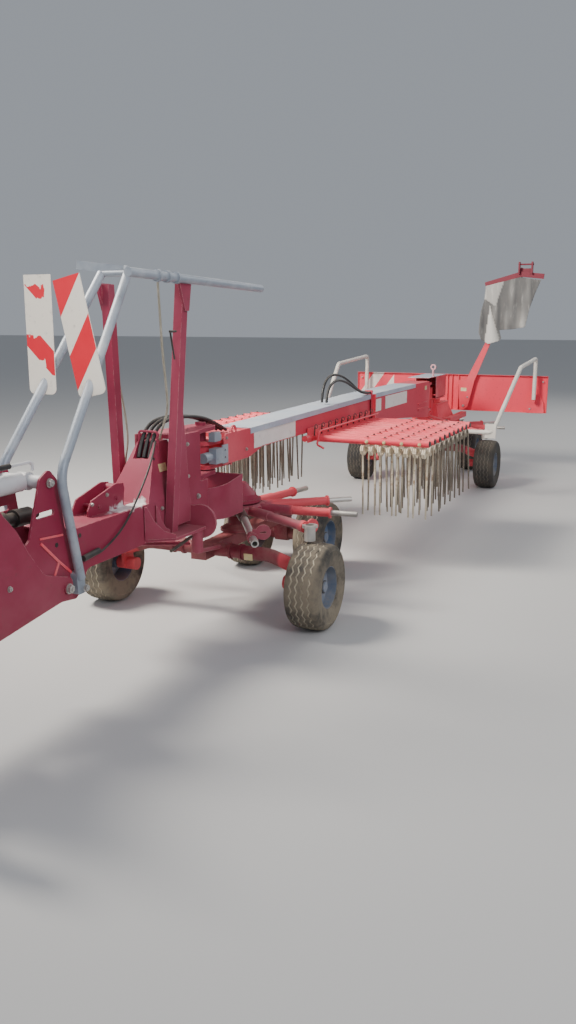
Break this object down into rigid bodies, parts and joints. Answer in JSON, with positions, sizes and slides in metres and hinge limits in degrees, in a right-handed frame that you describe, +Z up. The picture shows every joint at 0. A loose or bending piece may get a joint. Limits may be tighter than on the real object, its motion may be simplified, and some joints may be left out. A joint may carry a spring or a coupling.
{
  "type": "towed twin-rotor rotary rake",
  "caption": "Towed rotary hay rake with rotors in tandem under a central beam, parked for the road with its tine arms stowed in side racks.",
  "frame": {"origin": "middle of the bounding box's bottom face, on the ground", "axes": "+X forward, +Y to the machine's left, +Z up"},
  "size_m": [7.017, 1.82, 1.9059],
  "materials": {
    "red_paint": "faded red paint with chalked edges",
    "galvanised": "dull galvanised tube",
    "board_white": "white sheet with red slanting stripes",
    "black_hose": "black rubber hose",
    "rope": "faded cord",
    "cylinder_paint": "worn light grey paint",
    "bright_steel": "bare steel, lightly rusted",
    "dark_steel": "greasy dark steel",
    "cover_grey": "weathered grey sheet",
    "tine_steel": "polished and rusted spring steel",
    "cloth": "dusty grey coated cloth",
    "tyre_rubber": "dusty black rubber",
    "rim_paint": "grey-blue paint"
  },
  "bodies": {
    "chassis": {"front_frame": "red_paint", "swing_ears": "red_paint", "joint_bowl": "red_paint", "front_housing": "red_paint", "front_posts": "red_paint", "guard_hoop": "galvanised", "top_rail": "galvanised", "warning_board_left": "board_white", "warning_board_right": "board_white", "front_carriage": "red_paint", "hinge_hoses": "black_hose", "side_cable": "black_hose", "ropes": "rope"},
    "headstock": {"headstock": "red_paint"},
    "lift_barrel": {"lift_barrel": "cylinder_paint"},
    "lift_rod": {"lift_rod": "bright_steel"},
    "hitch_beam": {"hitch_beam": "red_paint"},
    "pto_shaft": {"pto_shaft": "dark_steel"},
    "front_rotor": {"front_rotor": "red_paint", "front_rotor_pins": "bright_steel"},
    "beam": {"main_beam": "red_paint", "swing_fittings": "galvanised", "rear_box": "red_paint", "beam_cover": "cover_grey", "racks": "red_paint", "tine_arms_left": "red_paint", "tine_arms_right": "red_paint", "tines_left": "tine_steel", "tines_right": "tine_steel", "beam_hoses": "black_hose"},
    "rear_carriage": {"rear_carriage": "red_paint", "rear_housing": "red_paint", "head_cover": "cover_grey", "rear_panel": "red_paint", "swath_pin": "bright_steel", "guard_arms": "red_paint", "rear_guards": "galvanised"},
    "rear_rotor": {"rear_rotor": "red_paint", "rear_rotor_pins": "bright_steel"},
    "swath_arm": {"swath_arm": "red_paint", "swath_cloth": "cloth"},
    "front_left_wheel": {"front_left_tyre": "tyre_rubber", "front_left_rim": "rim_paint"},
    "front_right_wheel": {"front_right_tyre": "tyre_rubber", "front_right_rim": "rim_paint"},
    "front_inner_wheels": {"front_inner_tyres": "tyre_rubber", "front_inner_rims": "rim_paint"},
    "rear_left_wheel": {"rear_left_tyre": "tyre_rubber", "rear_left_rim": "rim_paint"},
    "rear_right_wheel": {"rear_right_tyre": "tyre_rubber", "rear_right_rim": "rim_paint"},
    "rear_inner_wheels": {"rear_inner_tyres": "tyre_rubber", "rear_inner_rims": "rim_paint"}
  },
  "joints": [
    {"name": "headstock_pitch", "type": "hinge", "parent": "chassis", "child": "headstock", "pos_m": [2.7515, 0, 0.481], "axis": [0, 1, 0], "range_deg": [-6, 6]},
    {"name": "lift_barrel_pivot", "type": "hinge", "parent": "chassis", "child": "lift_barrel", "pos_m": [2.8045, 0, 0.866], "axis": [0, 1, 0], "range_deg": [-7.33, 7.33]},
    {"name": "lift_rod_slide", "type": "slide", "parent": "lift_barrel", "child": "lift_rod", "axis": [1, 0, 0], "range_m": [-0.0413, 0.0413]},
    {"name": "hitch_swivel", "type": "hinge", "parent": "headstock", "child": "hitch_beam", "pos_m": [3.4645, 0, 0.45], "axis": [0, 0, 1], "range_deg": [-25, 25]},
    {"name": "pto_spin", "type": "hinge", "parent": "chassis", "child": "pto_shaft", "pos_m": [2.7545, 0, 0.742], "axis": [0.9994, 0, 0.036], "continuous": true},
    {"name": "front_rotor_spin", "type": "hinge", "parent": "chassis", "child": "front_rotor", "pos_m": [1.2045, 0, 0.471], "axis": [0, 0, 1], "continuous": true},
    {"name": "beam_swing", "type": "hinge", "parent": "chassis", "child": "beam", "pos_m": [1.5645, 0, 0.7], "axis": [0, 0, 1], "range_deg": [-30, 0], "deforming": ["hinge_hoses"]},
    {"name": "rear_steer", "type": "hinge", "parent": "beam", "child": "rear_carriage", "pos_m": [-2.3555, 0, 0.64], "axis": [0, 0, 1], "range_deg": [0, 30]},
    {"name": "rear_rotor_spin", "type": "hinge", "parent": "rear_carriage", "child": "rear_rotor", "pos_m": [-2.7155, 0, 0.471], "axis": [0, 0, 1], "continuous": true},
    {"name": "swath_fold", "type": "hinge", "parent": "rear_carriage", "child": "swath_arm", "pos_m": [-3.2415, 0.15, 0.61], "axis": [1, 0, 0], "range_deg": [-5, 25]},
    {"name": "front_left_wheel_spin", "type": "hinge", "parent": "chassis", "child": "front_left_wheel", "pos_m": [1.5145, 0.56, 0.203], "axis": [0, 1, 0], "continuous": true},
    {"name": "front_right_wheel_spin", "type": "hinge", "parent": "chassis", "child": "front_right_wheel", "pos_m": [1.5145, -0.56, 0.203], "axis": [0, 1, 0], "continuous": true},
    {"name": "front_inner_wheels_spin", "type": "hinge", "parent": "chassis", "child": "front_inner_wheels", "pos_m": [0.6145, 0, 0.203], "axis": [0, 1, 0], "continuous": true},
    {"name": "rear_left_wheel_spin", "type": "hinge", "parent": "rear_carriage", "child": "rear_left_wheel", "pos_m": [-2.4055, 0.56, 0.203], "axis": [0, 1, 0], "continuous": true},
    {"name": "rear_right_wheel_spin", "type": "hinge", "parent": "rear_carriage", "child": "rear_right_wheel", "pos_m": [-2.4055, -0.56, 0.203], "axis": [0, 1, 0], "continuous": true},
    {"name": "rear_inner_wheels_spin", "type": "hinge", "parent": "rear_carriage", "child": "rear_inner_wheels", "pos_m": [-3.3055, 0, 0.203], "axis": [0, 1, 0], "continuous": true}
  ],
  "couplings": [
    {"joint": "lift_barrel_pivot", "follows": "headstock_pitch", "ratio": 1.1377},
    {"joint": "lift_rod_slide", "follows": "headstock_pitch", "m_per_rad": 0.385},
    {"joint": "rear_steer", "follows": "beam_swing", "ratio": -1}
  ]
}
